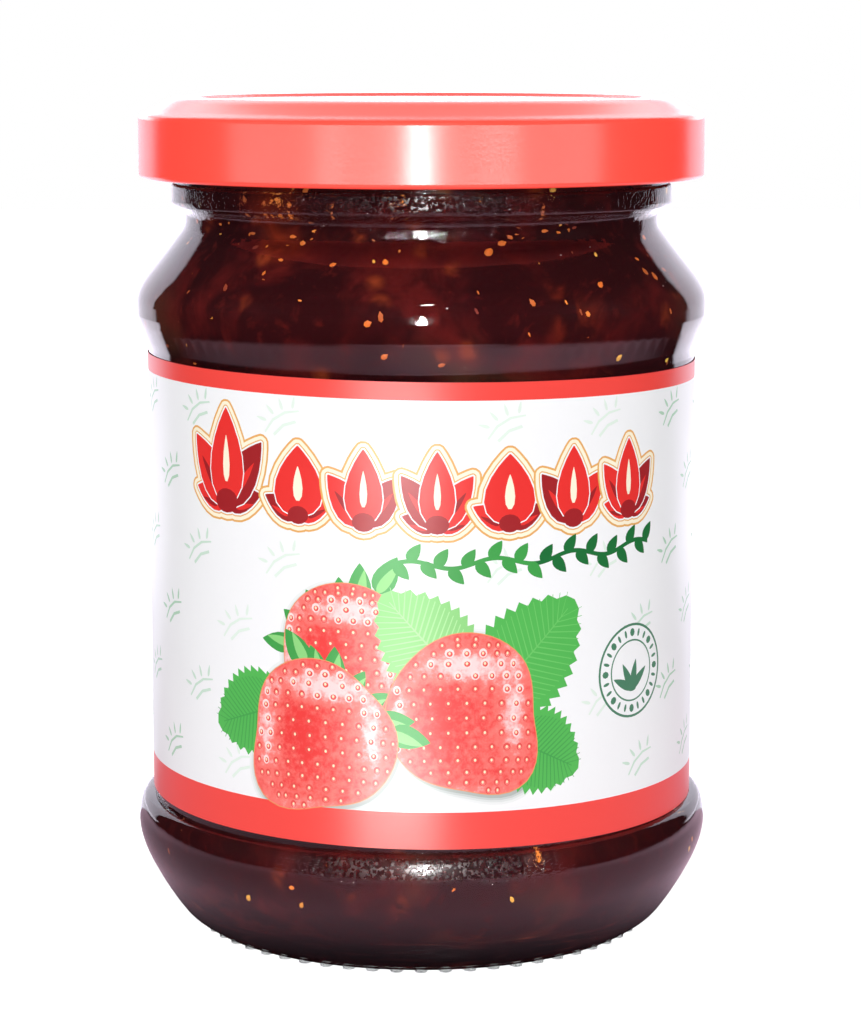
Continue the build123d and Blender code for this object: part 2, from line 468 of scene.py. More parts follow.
def jam_outline():
    """The jam's side as (radius, height), from the edge of its floor to its level, read from its CAD mesh."""
    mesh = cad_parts["jam_filling"].data
    co = np.empty(len(mesh.vertices) * 3)
    mesh.vertices.foreach_get("co", co)
    co = co.reshape(-1, 3)
    radius = np.hypot(co[:, 0], co[:, 1])
    wall = radius > FLAT_RADIUS
    pairs = sorted({(round(z, 6), round(r, 5)) for r, z in zip(radius[wall].tolist(), co[wall, 2].tolist())})
    outline = [pairs[0]]
    for z, r in pairs[1:]:
        if z - outline[-1][0] > 0.05 * MM or abs(r - outline[-1][1]) > 0.2 * MM:
            outline.append((z, r))
    return [(r, z) for z, r in outline]


jam_side = jam_outline()


def jam_radius(z):
    """The jam's radius at a height, both in metres."""
    return float(np.interp(z, [p[1] for p in jam_side], [p[0] for p in jam_side]))


def make_jam():
    """The filling, reaching a little way into the wall so that no air shows between them."""
    skin = []
    for k, (r, z) in enumerate(jam_side):
        before = jam_side[max(k - 1, 0)]
        after = jam_side[min(k + 1, len(jam_side) - 1)]
        out = Vector((after[1] - before[1], before[0] - after[0])).normalized()
        skin.append((r + out.x * JAM_REACH, z + out.y * JAM_REACH))
    floor_z = jam_low.z - JAM_REACH
    profile = [(0.0, floor_z), (skin[0][0], floor_z)] + skin[1:]
    # the level sinks a little from the wall to the middle
    profile.append((jam_side[-1][0] - 1.2 * MM, jam_high.z - 0.4 * MM))
    profile.append((0.0, jam_high.z - 0.5 * MM))
    points, faces = lathe(profile, 160)
    piece = new_piece("jam", points, faces, [jam_material()])
    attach(piece, "root")
    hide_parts("jam_filling")
    return piece


def small_body(length, width, thick, point, around=8, along=6):
    """Points and faces of one seed or bubble, long axis X, blunt at one end when point is over 0."""
    points = [(-length / 2, 0, 0)]
    for i in range(1, along):
        u = i / along
        x = -math.cos(math.pi * u) * length / 2
        swell = math.sin(math.pi * u) * (1 - point * (u - 0.35))
        for k in range(around):
            a = 2 * math.pi * k / around
            points.append((x, swell * width / 2 * math.cos(a), swell * thick / 2 * math.sin(a)))
    points.append((length / 2, 0, 0))
    last = len(points) - 1
    faces = []
    for k in range(around):
        n = (k + 1) % around
        faces.append((0, 1 + n, 1 + k))
        faces.append((last, last - around + k, last - around + n))
        for i in range(along - 2):
            b = 1 + i * around
            faces.append((b + k, b + n, b + around + n, b + around + k))
    return np.array(points), faces


def scatter(name, bodies, material):
    """Joins many small bodies, each (angle, z, sink, turn, points, faces, depth), against the jam's wall."""
    points = []
    faces = []
    depths = []
    for angle, z, sink, turn, body, sides, depth in bodies:
        r = jam_radius(z) - sink
        out = Vector((math.sin(angle), -math.cos(angle), 0))
        side = Vector((math.cos(angle), math.sin(angle), 0))
        slope = (jam_radius(z + MM) - jam_radius(z - MM)) / (2 * MM)
        up = (Vector((0, 0, 1)) + out * slope).normalized()
        along = side * math.cos(turn) + up * math.sin(turn)
        across = up * math.cos(turn) - side * math.sin(turn)
        normal = along.cross(across)
        centre = out * r + Vector((0, 0, z))
        start = len(points)
        for x, y, w in body:
            points.append(centre + along * x + across * y + normal * w)
            depths.append(depth)
        faces.extend(tuple(i + start for i in f) for f in sides)
    piece = new_piece(name, points, faces, [material])
    add_values(piece, "depth", depths)
    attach(piece, "root")
    return piece


# close groups of seeds: angle, height in millimetres, spread in angle and in height, number
CLUSTERS = (
    (-0.62, 90.6, 0.1, 0.8, 22),
    (-0.6, 86.6, 0.11, 0.9, 7),
    (0.55, 78.6, 0.07, 0.7, 6),
    (0.3, 86.5, 0.2, 1.2, 7),
)
# heights in millimetres where seeds lie
UNDER_LEVEL = (84, 95)
SHOULDER = (68, 96)
FOOT = (8, 18)
BEHIND_LABEL = (18, 68)
SEED_SIZE = 1.2
GROUPED_SEED_SIZE = 1.35
# shares of the seeds, added up: in groups, then single on the shoulder, then single at the foot
GROUPED_SHARE = 0.28
SHOULDER_SHARE = 0.72
FOOT_SHARE = 0.86


def any_angle():
    """A direction anywhere round the jar."""
    return random.uniform(-math.pi, math.pi)


def seed_spots(count, groups):
    """Places of the seeds as (angle, height, size): some in groups, most singly, thinly behind the label."""
    middles = [(any_angle(), random.uniform(*UNDER_LEVEL)) for _ in range(groups)]
    spots = []
    for _ in range(count):
        pick = random.random()
        if pick < GROUPED_SHARE:
            angle, z = random.choice(middles)
            spots.append((angle + random.gauss(0, 0.13), z + random.gauss(0, 1.6), SEED_SIZE))
        else:
            zone = SHOULDER if pick < SHOULDER_SHARE else (FOOT if pick < FOOT_SHARE else BEHIND_LABEL)
            spots.append((any_angle(), random.uniform(*zone), SEED_SIZE))
    for angle, z, wide, tall, seeds in CLUSTERS:
        for _ in range(seeds):
            spots.append((angle + random.gauss(0, wide), z + random.gauss(0, tall), GROUPED_SEED_SIZE))
    return [(a, z * MM, size) for a, z, size in spots if z * MM < jam_high.z - 0.8 * MM]


def make_seeds(count=820):
    """The seeds, each turned at random, with its middle a little way under the jam's skin."""
    bodies = []
    for angle, z, usual in seed_spots(count, 16):
        size = max(0.8, random.gauss(usual, 0.2)) * MM
        body, sides = small_body(size, size * 0.74, size * 0.42, 0.5)
        depth = random.random() ** 0.45
        if usual == GROUPED_SEED_SIZE:
            depth = random.uniform(0.3, 0.8)
        sink = (0.06 + 0.1 * depth) * MM
        turn = random.uniform(0, math.pi)
        bodies.append((angle, z, sink, turn, body, sides, depth))
    return scatter("strawberry_seeds", bodies, seed_material())


def make_bubbles(count=90):
    """Small flattened bubbles at the jam's skin."""
    bodies = []
    for _ in range(count):
        size = random.uniform(0.25, 0.55) * MM
        body, sides = small_body(size, size, size * 0.7, 0.0)
        z = random.choice((random.uniform(84, 92), random.uniform(70, 90), random.uniform(9, 16))) * MM
        bodies.append((any_angle(), z, 0.05 * MM, 0.0, body, sides, 0.0))
    return scatter("air_bubbles", bodies, bubble_material())


# ---------------------------------------------------------------- label print, laid out flat

# the paper strip, in millimetres: its edges run on a slight slant, and its ends lap at the back
label_r = label_high.x / MM
STRIP_TILT = math.tan(math.radians(0.8))
STRIP_LOW = label_low.z / MM + STRIP_TILT * label_r
STRIP_HEIGHT = (label_high.z - label_low.z) / MM - 2 * STRIP_TILT * label_r
STRIP_HALF = math.pi * label_r
LAP = 9.0
STRIP_END = STRIP_HALF + LAP / 2
PAPER_THICKNESS = 0.1
TOP_BAND = 2.1
FOOT_BAND = 4.4


def turned(points, cx, cy, angle):
    """The points turned about (0, 0), then moved to (cx, cy)."""
    c, s = math.cos(angle), math.sin(angle)
    return [(cx + x * c - y * s, cy + x * s + y * c) for x, y in points]


def petal(cx, cy, wide, tall, angle=0.0, steps=18):
    """A leaf or petal: round at the foot, pointed at the top; (cx, cy) is its foot, angle turns it."""
    points = []
    for k in range(steps):
        a = 2 * math.pi * (k + 0.5) / steps
        x = wide / 2 * math.sin(a) * math.sin(a / 2) ** 0.9 * 1.25
        points.append((-x, tall / 2 * math.cos(a) + tall / 2))
    return turned(points, cx, cy, angle)


def disc(cx, cy, rx, ry=None, steps=24):
    """A circle, or an ellipse when ry is given."""
    ry = rx if ry is None else ry
    return [
        (cx + rx * math.cos(2 * math.pi * k / steps), cy + ry * math.sin(2 * math.pi * k / steps))
        for k in range(steps)
    ]


def berry_outline(cx, cy, reach, scale=1.0, steps=56):
    """A smooth closed outline through reaches given at even turns, the first one to the right."""
    n = len(reach)
    points = []
    for k in range(steps):
        u = k / steps * n
        i = int(u)
        f = u - i
        r0, r1, r2, r3 = (reach[(i + j - 1) % n] for j in range(4))
        r = 0.5 * (2 * r1 + (r2 - r0) * f + (2 * r0 - 5 * r1 + 4 * r2 - r3) * f**2
                   + (3 * r1 - r0 - 3 * r2 + r3) * f**3)
        a = 2 * math.pi * k / steps
        points.append((cx + scale * r * math.cos(a), cy + scale * r * math.sin(a)))
    return points


def signed_area(outline):
    """The area of an outline, under 0 when it runs clockwise."""
    following = outline[1:] + outline[:1]
    return sum(x0 * y1 - x1 * y0 for (x0, y0), (x1, y1) in zip(outline, following)) / 2


def broken_up(outline, step):
    """The same outline with no side longer than the step."""
    points = []
    for (x0, y0), (x1, y1) in zip(outline, outline[1:] + outline[:1]):
        parts = max(1, math.ceil(math.hypot(x1 - x0, y1 - y0) / step))
        points.extend((x0 + (x1 - x0) * k / parts, y0 + (y1 - y0) * k / parts) for k in range(parts))
    return points


def distance_to(point, outline):
    """How far a point is from the nearest side of an outline."""
    x, y = point
    nearest = 1e9
    for (x0, y0), (x1, y1) in zip(outline, outline[1:] + outline[:1]):
        dx, dy = x1 - x0, y1 - y0
        u = max(0.0, min(1.0, ((x - x0) * dx + (y - y0) * dy) / (dx * dx + dy * dy + 1e-12)))
        nearest = min(nearest, math.hypot(x0 + u * dx - x, y0 + u * dy - y))
    return nearest


def grown(outline, margin):
    """The outline moved outward by a margin, with rounded corners."""
    if signed_area(outline) < 0:
        outline = outline[::-1]
    fine = broken_up(outline, 0.5)
    points = []
    for k, (x, y) in enumerate(fine):
        px, py = fine[k - 1]
        nx, ny = fine[(k + 1) % len(fine)]
        before = math.atan2(y - py, x - px) - math.pi / 2
        turn = (math.atan2(ny - y, nx - x) - math.pi / 2 - before + math.pi) % (2 * math.pi) - math.pi
        parts = max(1, round(turn / 0.5))
        for j in range(parts):
            a = before + turn * (j + 0.5) / parts
            spot = (x + margin * math.cos(a), y + margin * math.sin(a))
            if distance_to(spot, fine) > margin * 0.97:
                points.append(spot)
    return points


def toothed_leaf(foot, tip, wide, teeth=11):
    """A strawberry leaflet with saw teeth, and its veins."""
    dx, dy = tip[0] - foot[0], tip[1] - foot[1]
    length = math.hypot(dx, dy)
    angle = math.atan2(dy, dx)

    def half(u):
        return wide / 2 * math.sin(math.pi * u**0.85) ** 0.62

    edge = [(0.0, 0.0)]
    for k in range(teeth):
        u = (k + 0.25) / teeth
        edge.append((u * length, half(u) * 0.9))
        edge.append(((k + 0.98) / teeth * length, half(min((k + 0.8) / teeth, 0.985)) + 0.3))
    edge.append((length + 0.4, 0.0))
    mirror = [(x, -y) for x, y in reversed(edge[1:-1])]
    veins = []
    for k in range(1, 2 * teeth):
        u = k / 2 / teeth
        for sign in (1, -1):
            x0, x1 = (u - 0.1) * length, (u + 0.07) * length
            y1 = sign * half(u) * 0.82
            veins.append([(x0, 0.0), (x0 + 0.2, 0.0), (x1 + 0.06, y1), (x1 - 0.06, y1)])
    veins.append([(0.3, -0.14), (length * 0.94, -0.05), (length * 0.94, 0.05), (0.3, 0.14)])

    def place(shape):
        return turned(shape, foot[0], foot[1], angle)

    return place(edge + mirror), [place(v) for v in veins]


# berries: (middle s, middle t, reaches at eight turns)
BERRIES = (
    (-9.2, 22.4, (8.2, 8.8, 8.7, 8.3, 7.3, 8.0, 8.0, 8.0)),
    (4.8, 15.6, (8.6, 9.9, 10.0, 9.0, 8.9, 8.7, 8.5, 11.0)),
    (-11.8, 12.8, (9.1, 8.1, 9.1, 9.5, 8.6, 11.0, 8.3, 8.9)),
)
# all berries lie within this distance of the middle of the front
BERRIES_HALF = 30


def tone_at(s, t, berry):
    """How pale the printed berry is at a point: soft lights on its shoulder and along both flanks."""
    cx, cy, reach = berry
    size = sum(reach) / len(reach)
    x, y = (s - cx) / size, (t - cy) / size
    light = math.exp(-(((x - 0.05) / 0.6) ** 2 + ((y - 0.66) / 0.2) ** 2))
    right = math.exp(-(((x - 0.66) / 0.17) ** 2 + ((y - 0.05) / 0.55) ** 2))
    left = math.exp(-(((x + 0.8) / 0.16) ** 2 + ((y - 0.05) / 0.7) ** 2))
    low = math.exp(-(((x + 0.1) / 0.7) ** 2 + ((y + 0.92) / 0.1) ** 2))
    core = math.exp(-(((x + 0.25) / 0.28) ** 2 + ((y - 0.05) / 0.5) ** 2))
    return 0.3 + 0.75 * light + 0.6 * right + 0.5 * left + 0.3 * low - 0.3 * core


def berry_seeds(berry):
    """Printed seeds in offset rows, closer together towards the edge."""
    cx, cy, reach = berry
    size = sum(reach) / len(reach)
    spots = []
    rows = 15
    for i in range(rows):
        v = (i + 0.5) / rows * 2 - 1
        y = math.sin(v * 1.35) / math.sin(1.35)
        span = math.sqrt(max(0.02, 1.02 - y * y))
        count = max(3, round(12.5 * span))
        for k in range(count):
            w = (k + (0.5 if i % 2 else 0.0) + 0.25) / count * 2 - 1
            x = math.sin(max(-1, min(1, w)) * 1.3) / math.sin(1.3) * span
            spots.append((cx + x * size * 1.04, cy + y * size * 1.02 - 0.4 * x * x, 1 - 0.3 * abs(w)))
    return spots


def inside(point, outline):
    """Whether a point is within an outline."""
    x, y = point
    hit = False
    for (x0, y0), (x1, y1) in zip(outline, outline[1:] + outline[:1]):
        if (y0 > y) != (y1 > y) and x < (x1 - x0) * (y - y0) / (y1 - y0) + x0:
            hit = not hit
    return hit


def berry_shapes(berry, shapes):
    """A pale rim, the berry, and its seeds: pits in the red, and glints where the berry is palest."""
    shapes.append((berry_outline(*berry, 1.012), "ink_berry_rim"))
    shapes.append((berry_outline(*berry), "ink_berry"))
    inner = berry_outline(*berry, 0.96)
    for x, y, narrow in berry_seeds(berry):
        if not inside((x, y), inner):
            continue
        wide = 0.5 * narrow * random.uniform(0.85, 1.1)
        if tone_at(x, y, berry) > 0.62:
            shapes.append((disc(x, y + 0.04, wide * 1.15, 0.56, 10), "ink_seed_glint"))
            shapes.append((disc(x + 0.03, y - 0.04, wide * 0.72, 0.34, 8), "ink_seed_pit"))
        else:
            shapes.append((disc(x, y, wide, 0.46, 10), "ink_seed_pit"))
            shapes.append((disc(x + 0.03, y - 0.1, wide * 0.66, 0.28, 8), "ink_berry"))
        shapes.append((disc(x, y + 0.02, 0.17 * narrow, 0.2, 6), "ink_seed_light"))


def leaf_shapes(foot, tip, wide, ink, vein, shapes):
    """A toothed leaf from foot to tip in one ink, with its veins in another."""
    edge, veins = toothed_leaf(foot, tip, wide)
    shapes.append((edge, ink))
    shapes.extend((v, vein) for v in veins)


def sepal_shapes(shapes, start, end, count, lean, size):
    """A row of pointed sepals from start to end, fanned by lean, each with a lighter fold."""
    for k in range(count):
        u = k / (count - 1)
        x = start[0] + (end[0] - start[0]) * u
        y = start[1] + (end[1] - start[1]) * u
        angle = lean[0] + (lean[1] - lean[0]) * u + random.uniform(-0.2, 0.2)
        long = size * random.uniform(0.85, 1.15)
        shapes.append((petal(x, y, long * 0.6, long, angle), "ink_green"))
        shapes.append((petal(x, y, long * 0.26, long * 0.86, angle - 0.14), "ink_leaf_light"))


def shade_shapes(shapes):
    """Soft grey shadow round the fruit, in four steps."""
    shades = ((0.95, "ink_shade_1"), (0.65, "ink_shade_2"), (0.4, "ink_shade_3"), (0.15, "ink_shade_4"))
    for margin, ink in shades:
        for cx, cy, reach in BERRIES:
            shapes.append((grown(berry_outline(cx + 0.25, cy - 0.35, reach), margin), ink))


def fruit_shapes(shapes):
    """Three berries, two rows of sepals and four leaves, the ones at the back first."""
    leaf_shapes((-15.5, 16.6), (-26.4, 12.6), 10.6, "ink_leaf_green", "ink_green", shapes)
    sepal_shapes(shapes, (-15.4, 23.4), (-5.0, 30.2), 6, (1.3, -0.55), 4.6)
    berry_shapes(BERRIES[0], shapes)
    leaf_shapes((5.5, 19.0), (-4.2, 29.8), 11.0, "ink_leaf_light", "ink_leaf_pale", shapes)
    leaf_shapes((7.0, 16.6), (18.6, 28.6), 12.5, "ink_leaf_green", "ink_leaf_mid", shapes)
    leaf_shapes((9.5, 13.6), (19.2, 8.8), 10.4, "ink_leaf_green", "ink_green", shapes)
    berry_shapes(BERRIES[1], shapes)
    sepal_shapes(shapes, (-13.6, 21.2), (-3.6, 13.8), 7, (0.55, -1.75), 4.4)
    berry_shapes(BERRIES[2], shapes)


def palmette(shapes, cx, low, tall, petals, dark_side):
    """A fan of petals on a round foot: gold line, cream margin, then the petals in two reds."""
    fan = [
        petal(cx, low + 0.08 * tall, wide * tall, high * tall, lean)
        for lean, wide, high in petals
    ]
    foot = disc(cx, low + 0.1 * tall, 0.15 * tall, 0.12 * tall, 16)
    for margin, ink in ((1.0, "ink_gold"), (0.76, "ink_cream"), (0.34, "ink_gold"), (0.2, "paper_white")):
        shapes.extend((grown(part, margin), ink) for part in fan + [foot])
    for part, (lean, wide, high) in zip(fan, petals):
        shapes.append((grown(part, 0.14), "paper_white"))
        dark = lean * dark_side < -0.1
        shapes.append((part, "ink_dark_red" if dark else "ink_red"))
        vein = petal(cx, low + 0.3 * tall * high, wide * tall * 0.2, high * tall * 0.5, 0.0, 12)
        vein = turned([(x - cx, y - low) for x, y in vein], cx, low, lean)
        shapes.append((vein, "ink_cream" if abs(lean) < 0.1 else ("ink_red" if dark else "ink_dark_red")))
    shapes.append((foot, "ink_dark_red"))


WIDE_FAN = (
    (1.3, 0.28, 0.46), (-1.3, 0.28, 0.46), (0.62, 0.4, 0.78), (-0.62, 0.4, 0.78), (0.0, 0.46, 0.94),
)
LILY_FAN = ((0.66, 0.44, 0.76), (-0.66, 0.44, 0.76), (0.0, 0.5, 0.94))
BUD_FAN = ((1.1, 0.32, 0.56), (-1.1, 0.32, 0.56), (0.0, 0.72, 0.94))


def ornament_shapes(shapes):
    """A row of palmettes, the first one the largest, over a leafy green twig."""
    row = (
        (-24.9, 38.2, 12.0, WIDE_FAN, 1),
        (-14.6, 37.8, 8.8, BUD_FAN, -1),
        (-6.6, 37.4, 9.2, LILY_FAN, 1),
        (1.9, 37.3, 9.2, WIDE_FAN, -1),
        (10.4, 37.4, 8.8, BUD_FAN, 1),
        (18.6, 37.6, 9.2, LILY_FAN, -1),
        (27.2, 37.9, 9.2, WIDE_FAN, 1),
    )
    for cx, low, tall, petals, dark_side in row:
        palmette(shapes, cx, low, tall, petals, dark_side)
    start, end, steps = -3.8, 31.0, 60

    def twig(u):
        return start + (end - start) * u, 33.4 + 0.5 * math.sin(u * math.pi * 7) + 1.2 * u

    for part, ink in ((0, "ink_green"), (1, "ink_dark_green")):
        line = [twig(part / 2 + k / steps / 2) for k in range(steps + 1)]
        shapes.append(([(x, y + 0.26) for x, y in line] + [(x, y - 0.26) for x, y in reversed(line)], ink))
    for k in range(22):
        u = (k + 0.5) / 22
        x, y = twig(u)
        ink = "ink_green" if u < 0.5 else "ink_dark_green"
        shapes.append((petal(x, y, 1.5, 2.5, -0.6 if k % 2 else -2.4), ink))


def seal_shapes(shapes, cx=28.2, cy=19.3, radius=5.7):
    """A round green seal: two rings, a ring of beads and bars, and a sprout."""
    for r, ink in (
        (radius, "ink_seal_green"),
        (radius - 0.3, "paper_white"),
        (radius - 1.95, "ink_seal_green"),
        (radius - 2.15, "paper_white"),
    ):
        shapes.append((disc(cx, cy, r, steps=48), ink))
    for k in range(24):
        a = 2 * math.pi * k / 24
        x, y = cx + (radius - 1.1) * math.cos(a), cy + (radius - 1.1) * math.sin(a)
        bar = turned(disc(0, 0, 0.5, 0.2 if k % 3 else 0.42, 8), x, y, a)
        shapes.append((bar, "ink_seal_green"))
    for lean in (-1.0, -0.35, 0.35, 1.0):
        shapes.append((petal(cx, cy - 2.2, 1.15, 3.6, lean + 0.15), "ink_seal_green"))
    shapes.append((disc(cx, cy - 2.2, 0.8, 0.35, 10), "ink_seal_green"))


SPRIG_LEAN = 0.42
# painted sheen: the sprigs are painted paler within the first distance from the middle of the front, and
# palest within the second
SPRIG_SHEEN_HALF = 36
SPRIG_STRONG_SHEEN_HALF = 27


def sprig():
    """The areas of one sprig about (0, 0): two stems, and four leaves over the longer one."""
    parts = [
        [(-2.6, -0.5), (-1.0, 0.35), (0.8, 0.55), (2.6, 0.1),
         (2.6, 0.3), (0.8, 0.85), (-1.1, 0.65), (-2.7, -0.3)],
        [(-1.6, -1.3), (0.0, -0.75), (1.7, -0.95), (1.7, -0.6), (0.0, -0.4), (-1.7, -0.95)],
    ]
    for away, lean in ((-1.9, 0.9), (-0.7, 0.35), (0.6, -0.1), (1.9, -0.6)):
        parts.append(petal(away, 1.1 - 0.1 * away * away, 0.42, 1.5, lean, steps=10))
    return parts


def sprig_shapes(shapes):
    """Small sprigs over the white ground, in offset rows, rising to the right, with a painted sheen that
    leaves them palest over the front.
    """
    count = round(2 * STRIP_HALF / 13.4)
    step = 2 * STRIP_HALF / count
    parts = sprig()
    for row in range(6):
        for k in range(count):
            s = -STRIP_HALF + (k + 0.5 * (row % 2) + 0.25) * step
            t = 8.0 + 8.3 * row
            if s > STRIP_HALF - 3:
                continue
            ink = "ink_sprig"
            # painted sheen over the front of the label
            if abs(s) < SPRIG_SHEEN_HALF:
                ink = "ink_sprig_painted_sheen_weak" if abs(s) > SPRIG_STRONG_SHEEN_HALF else "ink_sprig_painted_sheen_strong"
            shapes.extend((turned(part, s, t, SPRIG_LEAN), ink) for part in parts)


def strip_band(low, high):
    """The outline of a band running the whole length of the strip."""
    return [(-STRIP_END, low), (STRIP_END, low), (STRIP_END, high), (-STRIP_END, high)]


def print_shapes():
    """Every printed area as (outline, ink), the later ones over the earlier."""
    shapes = [(strip_band(0, STRIP_HEIGHT), "paper_white")]
    sprig_shapes(shapes)
    shade_shapes(shapes)
    shapes.append((strip_band(0, FOOT_BAND), "ink_band_red"))
    shapes.append((strip_band(STRIP_HEIGHT - TOP_BAND, STRIP_HEIGHT), "ink_band_red"))
    fruit_shapes(shapes)
    ornament_shapes(shapes)
    seal_shapes(shapes)
    return shapes


def wrap(s, t):
    """A point of the flat strip laid round the jar, in metres; the far end laps over the first."""
    lap = max(0.0, min(1.0, (s - (STRIP_HALF - LAP / 2)) / 1.5))
    r = label_r + PAPER_THICKNESS * lap
    a = s / label_r
    x = r * math.sin(a)
    return (x * MM, -r * math.cos(a) * MM, (STRIP_LOW + t - STRIP_TILT * label_r * math.sin(a)) * MM)


def strip_net():
    """Points that keep faces small enough to bend round the jar, and smaller where the berries shade."""
    columns = round(2 * STRIP_END / 1.5)
    points = []
    for i in range(1, columns):
        for j in range(1, 12):
            points.append((-STRIP_END + 2 * STRIP_END * i / columns, STRIP_HEIGHT * j / 12))
    step = 0.55
    for cx, cy, reach in BERRIES:
        outline = berry_outline(cx, cy, reach, 0.97)
        size = max(reach)
        count = int(2 * size / step)
        for i in range(count):
            for j in range(count):
                p = (cx - size + step * (i + 0.5 * (j % 2)), cy - size + step * j)
                if inside(p, outline):
                    points.append(p)
    return points


def berry_tone(point):
    """The tone of the berry that a point lies on or next to, the last berry being over the others."""
    s, t = point
    if abs(s) >= BERRIES_HALF:
        return 0.0
    front = BERRIES[2]
    if inside(point, berry_outline(*front)):
        return tone_at(s, t, front)
    return tone_at(s, t, min(BERRIES, key=lambda b: (s - b[0]) ** 2 + (t - b[1]) ** 2))


def make_label():
    """The whole print as one surface, cut along every edge of every printed area."""
    shapes = print_shapes()
    points = []
    outlines = []
    for outline, _ in shapes:
        if signed_area(outline) < 0:
            outline = outline[::-1]
        outline = broken_up(outline, 1.4)
        start = len(points)
        points.extend(outline)
        outlines.append(list(range(start, start + len(outline))))
    points.extend(strip_net())
    flat, _, faces, _, _, owners = delaunay_2d_cdt(
        [Vector(p) for p in points], [], outlines, 0, 1e-4, True
    )
    names = list(INKS) + ["ink_berry"]
    inks = [ink_material(name, colour) for name, colour in INKS.items()] + [berry_ink_material()]
    printed = [(tuple(face), shapes[max(owner)][1]) for face, owner in zip(faces, owners) if owner]
    slots = [names.index(ink) for _, ink in printed]
    piece = new_piece("printed_label", [wrap(*p) for p in flat], [face for face, _ in printed], inks, slots)
    add_values(piece, "tone", [berry_tone(tuple(p)) for p in flat])
    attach(piece, "root")
    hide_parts("label")
    return piece


# ---------------------------------------------------------------- the carried-over CAD nodes

def dress(node, material):
    """Gives a CAD node its only material."""
    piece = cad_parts[node]
    piece.data.materials.clear()
    piece.data.materials.append(material)


# ---------------------------------------------------------------- floor, light and camera

# the bright wall behind the jar starts, and is full, where the Y of a direction is this large
WALL_START = 0.69
WALL_FULL = 0.72
WALL_LEVEL = 1.7
FAR_WALL_LEVEL = 2.8
WALL_GLOSS = (0.88, 0.84, 0.97, 1)
# colour of the table's painted reflection
PAINTED_TABLE_REFLECTION = (0.76, 0.52, 0.66, 1)
TABLE_HALF = 1.6


def seen_plainly(g, path):
    """1 for what the camera sees directly or through the glass."""
    return g.math("MAXIMUM", path.outputs["Is Camera Ray"], path.outputs["Is Transmission Ray"])


def plain_table(g, path, away, seen):
    """The pale table with its soft shadow; through the glass, the part under the jar's middle glows far less,
    a painted shade.
    """
    matt = g.add("ShaderNodeBsdfDiffuse", Color=(0.8, 0.8, 0.81, 1))
    # painted shade: seen through the glass, the table within about 22 mm of the jar's axis glows far less
    near = g.math("MAXIMUM", path.outputs["Is Camera Ray"], g.span(away, 0.022, 0.029, 0.1, 1.0))
    level = g.math("ADD", g.math("MULTIPLY", near, 0.68), g.span(away, 0.06, 0.2, 0.0, 0.32))
    glow = g.add("ShaderNodeEmission", Color=(1, 1, 1, 1))
    g.put(glow, "Strength", g.product(seen, level))
    plain = g.add("ShaderNodeAddShader")
    g.put(plain, "0", matt.outputs[0])
    g.put(plain, "1", glow.outputs[0])
    return plain.outputs[0]


def mirrored_table(g, where, away):
    """Painted reflection: a glow of the table seen only when mirrored, bright near the jar, dark further off,
    and joining the bright wall behind.

    away is the distance from the jar's axis.
    """
    across, deep, _ = g.add("ShaderNodeSeparateXYZ", Vector=where).outputs
    behind = g.math("DIVIDE", deep, away)
    wall = g.product(g.span(behind, WALL_START, WALL_FULL), g.span(away, 0.036, 0.06))
    # painted shade right under the jar, then a painted bright ring round it that fades further off
    painted_glow_round_jar = g.product(
        g.span(away, 0.028, 0.04),
        g.span(away, 0.22, 0.12, 0.02, 1.0),
        g.span(away, 0.07, 0.12, 1.0, 1.5),
    )
    ahead = g.product(
        g.span(behind, -0.8, -1.0),
        g.span(away, 0.22, 0.2),
        g.span(away, 0.14, 0.19, 0.0, 1.4),
    )
    # painted shade: the mirrored table is darker on the left
    table = g.product(g.math("ADD", painted_glow_round_jar, ahead), g.span(across, -0.05, 0.0, 0.66, 1.0))
    widened = g.product(g.span(away, 0.15, 0.28), g.span(away, 1.3, 0.4))
    edge = g.math("SUBTRACT", WALL_START, g.product(widened, 0.11))
    beyond = g.span(g.math("SUBTRACT", behind, edge), 0.0, 0.05)
    far_wall = g.product(beyond, widened, FAR_WALL_LEVEL)
    wall_level = g.math("MAXIMUM", g.product(wall, WALL_LEVEL), far_wall)
    mirrored = g.add("ShaderNodeEmission")
    g.put(mirrored, "Color", g.blend(g.math("MAXIMUM", wall, far_wall, clamp=True), PAINTED_TABLE_REFLECTION, WALL_GLOSS))
    g.put(mirrored, "Strength", g.math("MAXIMUM", wall_level, table))
    return mirrored.outputs[0]


def make_floor():
    """A table that looks plain to the eye, and whose look when mirrored is a painted reflection."""
    corners = [(x * TABLE_HALF, y * TABLE_HALF, 0) for x, y in ((-1, -1), (1, -1), (1, 1), (-1, 1))]
    floor = new_piece("floor", corners, [(0, 1, 2, 3)], [])
    material = bpy.data.materials.new("white_table")
    material.use_nodes = True
    g = Graph(material.node_tree)
    g.nodes.clear()
    path = g.add("ShaderNodeLightPath")
    where = g.add("ShaderNodeTexCoord").outputs["Object"]
    away = g.add("ShaderNodeVectorMath", {"operation": "LENGTH"})
    g.put(away, "0", where)
    seen = seen_plainly(g, path)
    both = g.add("ShaderNodeMixShader")
    g.put(both, "0", g.product(path.outputs["Is Glossy Ray"], g.math("SUBTRACT", 1.0, seen)))
    g.put(both, "1", plain_table(g, path, away.outputs["Value"], seen))
    g.put(both, "2", mirrored_table(g, where, away.outputs["Value"]))
    out = g.add("ShaderNodeOutputMaterial")
    g.put(out, "Surface", both.outputs[0])
    floor.data.materials.append(material)


